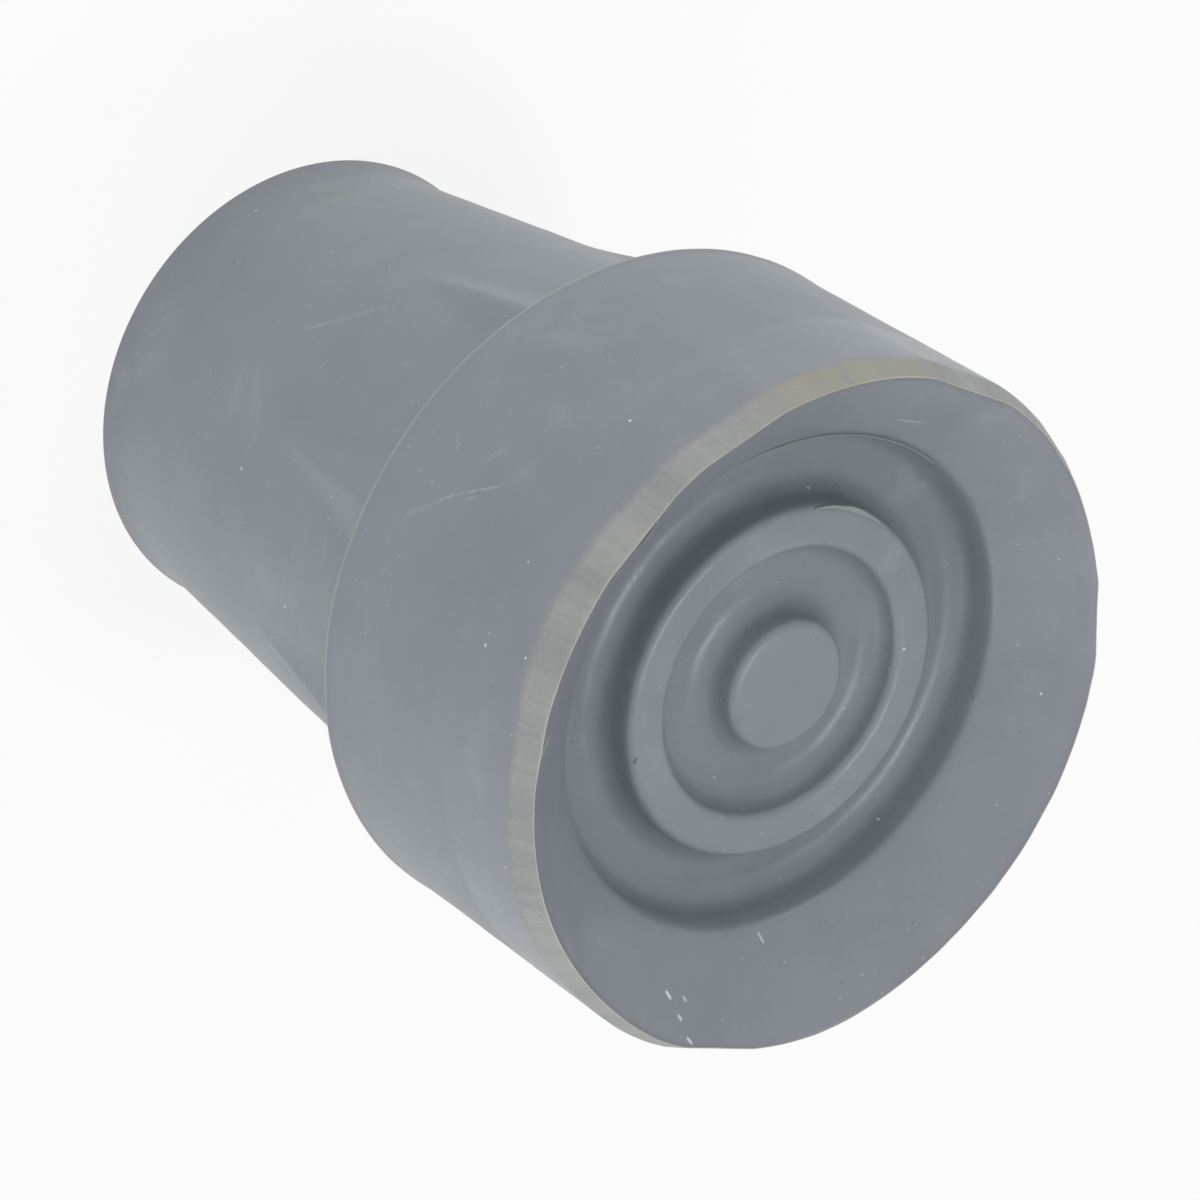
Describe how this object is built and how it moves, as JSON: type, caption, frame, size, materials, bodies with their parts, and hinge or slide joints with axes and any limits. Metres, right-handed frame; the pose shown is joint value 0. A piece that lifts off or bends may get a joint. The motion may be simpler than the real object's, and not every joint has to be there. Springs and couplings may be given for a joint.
{
  "type": "rubber cane tip",
  "caption": "Moulded rubber tip for a walking cane: a tapered socket that grips the shaft, and a wider head with a dished tread, a raised ring and a centre boss.",
  "frame": {"origin": "centre of the mouth's rim, where the shaft goes in, at the bottom of the part", "axes": "+Z along the axis from the mouth to the tread, so the part stands on its mouth; X and Y are across it"},
  "size_m": [0.0416, 0.0414, 0.053],
  "materials": {
    "grey_rubber": "semi-matt moulded rubber, mid blue-grey"
  },
  "bodies": {
    "root": {"cane_tip": "grey_rubber"}
  },
  "joints": []
}
